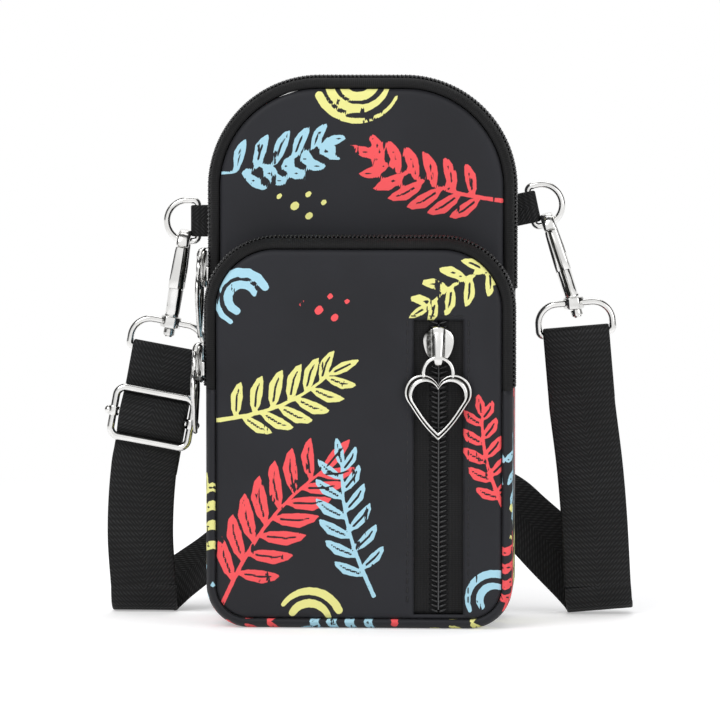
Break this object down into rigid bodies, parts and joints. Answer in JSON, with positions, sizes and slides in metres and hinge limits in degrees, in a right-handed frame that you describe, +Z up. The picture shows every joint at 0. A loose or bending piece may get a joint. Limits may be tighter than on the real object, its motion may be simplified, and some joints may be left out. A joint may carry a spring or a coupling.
{
  "type": "phone pouch",
  "caption": "Upright crossbody phone pouch with two zipped compartments, a zipped front pocket, heart zip pulls and a clip-on webbing strap.",
  "frame": {"origin": "middle of the pouch's flat base, on the surface that it stands on", "axes": "+X to the right seen from the front, +Y from the front panel to the back, +Z up"},
  "size_m": [0.1751, 0.0729, 0.1801],
  "materials": {
    "printed_cloth": "smooth coated cloth with a scattered brush-stroke print",
    "zip_tape": "woven tape",
    "zip_teeth": "moulded coil",
    "lining": "thin lining",
    "bright_metal": "bright nickel plate",
    "webbing": "flat woven webbing"
  },
  "bodies": {
    "pouch": {"back_panel": "printed_cloth", "divider_panel": "printed_cloth", "main_gusset": "printed_cloth", "main_rear_band": "printed_cloth", "main_zip_rear_tape": "zip_tape", "main_zip_side_tapes": "zip_tape", "main_zip_rear_teeth": "zip_teeth", "main_zip_side_teeth": "zip_teeth", "front_panel": "printed_cloth", "front_gusset": "printed_cloth", "front_zip_rear_tape": "zip_tape", "front_zip_side_tapes": "zip_tape", "front_zip_rear_teeth": "zip_teeth", "front_zip_side_teeth": "zip_teeth", "pocket_zip_left_tape": "zip_tape", "pocket_zip_right_tape": "zip_tape", "pocket_zip_left_teeth": "zip_teeth", "pocket_zip_right_teeth": "zip_teeth", "pocket_lining": "lining", "left_tab": "webbing", "right_tab": "webbing", "strap_left_drop": "webbing", "strap_right_drop": "webbing", "strap_left_run": "webbing", "strap_right_run": "webbing", "strap_hank": "webbing"},
    "main_flap": {"upper_front_panel": "printed_cloth", "main_zip_front_tape": "zip_tape", "main_zip_front_teeth": "zip_teeth"},
    "front_flap": {"front_flap_panel": "printed_cloth", "front_zip_front_tape": "zip_tape", "front_zip_front_teeth": "zip_teeth"},
    "main_slider": {"main_slider": "bright_metal"},
    "front_slider": {"front_slider": "bright_metal"},
    "pocket_slider": {"pocket_slider": "bright_metal"},
    "main_pull": {"main_heart_pull": "bright_metal"},
    "front_pull": {"front_heart_pull": "bright_metal"},
    "pocket_pull": {"pocket_heart_pull": "bright_metal"},
    "left_ring": {"left_d_ring": "bright_metal"},
    "left_hook": {"left_snap_hook": "bright_metal"},
    "left_gate": {"left_hook_gate": "bright_metal"},
    "left_eye": {"left_swivel_eye": "bright_metal", "strap_left_loop": "webbing"},
    "right_ring": {"right_d_ring": "bright_metal"},
    "right_hook": {"right_snap_hook": "bright_metal"},
    "right_gate": {"right_hook_gate": "bright_metal"},
    "right_eye": {"right_swivel_eye": "bright_metal", "strap_right_loop": "webbing"},
    "buckle": {"slide_buckle_frame": "bright_metal", "strap_buckle_turn": "webbing"},
    "buckle_bar": {"slide_buckle_bar": "bright_metal"}
  },
  "joints": [
    {"name": "main_flap_fold", "type": "hinge", "parent": "pouch", "child": "main_flap", "pos_m": [0, -0.0045, 0.131], "axis": [1, 0, 0], "range_deg": [0, 75]},
    {"name": "front_flap_fold", "type": "hinge", "parent": "pouch", "child": "front_flap", "pos_m": [0, -0.0225, 0.103], "axis": [1, 0, 0], "range_deg": [0, 75]},
    {"name": "main_slider_travel", "type": "slide", "parent": "pouch", "child": "main_slider", "axis": [0, 0, -1], "range_m": [-0.018, 0.0015]},
    {"name": "front_slider_travel", "type": "slide", "parent": "pouch", "child": "front_slider", "axis": [0, 0, -1], "range_m": [-0.011, 0.0015]},
    {"name": "pocket_slider_travel", "type": "slide", "parent": "pouch", "child": "pocket_slider", "axis": [0, 0, -1], "range_m": [0, 0.079]},
    {"name": "main_pull_swing", "type": "hinge", "parent": "main_slider", "child": "main_pull", "pos_m": [-0.0538, 0.00295, 0.12], "axis": [0, 1, 0], "range_deg": [0, 110]},
    {"name": "front_pull_swing", "type": "hinge", "parent": "front_slider", "child": "front_pull", "pos_m": [-0.0538, -0.01505, 0.09], "axis": [0, 1, 0], "range_deg": [0, 110]},
    {"name": "pocket_pull_swing", "type": "hinge", "parent": "pocket_slider", "child": "pocket_pull", "pos_m": [0.026, -0.0248, 0.089], "axis": [-1, 0, 0], "range_deg": [0, 110]},
    {"name": "left_ring_swing", "type": "hinge", "parent": "pouch", "child": "left_ring", "pos_m": [-0.0556, 0.0195, 0.1311], "axis": [0, 0, -1], "range_deg": [-20, 60]},
    {"name": "left_hook_swing", "type": "hinge", "parent": "left_ring", "child": "left_hook", "pos_m": [-0.06032, 0.0195, 0.12439], "axis": [0.9863, 0, -0.165], "range_deg": [-12, 30]},
    {"name": "left_gate_press", "type": "hinge", "parent": "left_hook", "child": "left_gate", "pos_m": [-0.0626, 0.0161, 0.11078], "axis": [-0.9863, 0, 0.165], "range_deg": [0, 24], "stiffness_Nm_per_rad": 0.004, "springref_deg": -11.46},
    {"name": "left_eye_swivel", "type": "hinge", "parent": "left_hook", "child": "left_eye", "pos_m": [-0.06486, 0.0195, 0.09727], "axis": [0.1822, 0, 0.9833], "range_deg": [-90, 90], "deforming": ["strap_left_drop"]},
    {"name": "right_ring_swing", "type": "hinge", "parent": "pouch", "child": "right_ring", "pos_m": [0.055, 0.0195, 0.1359], "axis": [-0.2079, 0, 0.9781], "range_deg": [-20, 60]},
    {"name": "right_hook_swing", "type": "hinge", "parent": "right_ring", "child": "right_hook", "pos_m": [0.06101, 0.0195, 0.13032], "axis": [0.9537, 0, 0.3007], "range_deg": [-12, 30]},
    {"name": "right_gate_press", "type": "hinge", "parent": "right_hook", "child": "right_gate", "pos_m": [0.06516, 0.0161, 0.11716], "axis": [-0.9537, 0, -0.3007], "range_deg": [0, 24], "stiffness_Nm_per_rad": 0.004, "springref_deg": -11.46},
    {"name": "right_eye_swivel", "type": "hinge", "parent": "right_hook", "child": "right_eye", "pos_m": [0.06928, 0.0195, 0.10409], "axis": [-0.0872, 0, 0.9962], "range_deg": [-90, 90], "deforming": ["strap_right_drop"]},
    {"name": "buckle_travel", "type": "slide", "parent": "left_eye", "child": "buckle", "axis": [-0.1822, 0, -0.9833], "range_m": [-0.009, 0.01]},
    {"name": "buckle_bar_play", "type": "slide", "parent": "buckle", "child": "buckle_bar", "axis": [-0.1822, 0, -0.9833], "range_m": [-0.002, 0.002], "deforming": ["strap_buckle_turn"]}
  ]
}
